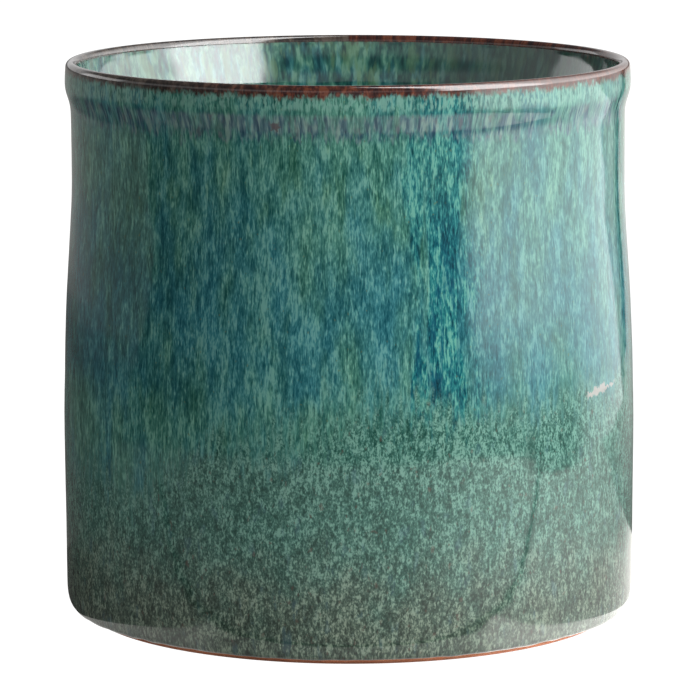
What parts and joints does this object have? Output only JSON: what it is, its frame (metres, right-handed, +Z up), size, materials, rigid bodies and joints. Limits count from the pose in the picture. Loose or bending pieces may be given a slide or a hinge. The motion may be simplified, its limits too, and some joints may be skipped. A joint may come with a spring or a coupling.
{
  "type": "brush holder pot",
  "caption": "Round glazed stoneware pot with a banded collar under a rounded lip and a bare foot ring, for standing brushes in upright.",
  "frame": {"origin": "centre of the foot ring, on the plane it stands on", "axes": "+Z up along the pot's axis; X and Y are alike, because the pot is a body of revolution"},
  "size_m": [0.15, 0.15, 0.145],
  "materials": {
    "fired_clay": "bare fired stoneware clay, matt, terracotta orange",
    "speckled_glaze": "gloss, sea green speckle on grey-brown",
    "streaked_glaze": "gloss, teal and blue with long vertical streaks",
    "iron_glaze": "gloss, iron brown where it breaks over the lip",
    "liner_glaze": "gloss, teal and yellow-green streaks"
  },
  "bodies": {
    "root": {"clay_body": "fired_clay", "base_glaze": "speckled_glaze", "over_glaze": "streaked_glaze", "lip_glaze": "iron_glaze", "liner_glaze": "liner_glaze"}
  },
  "joints": []
}
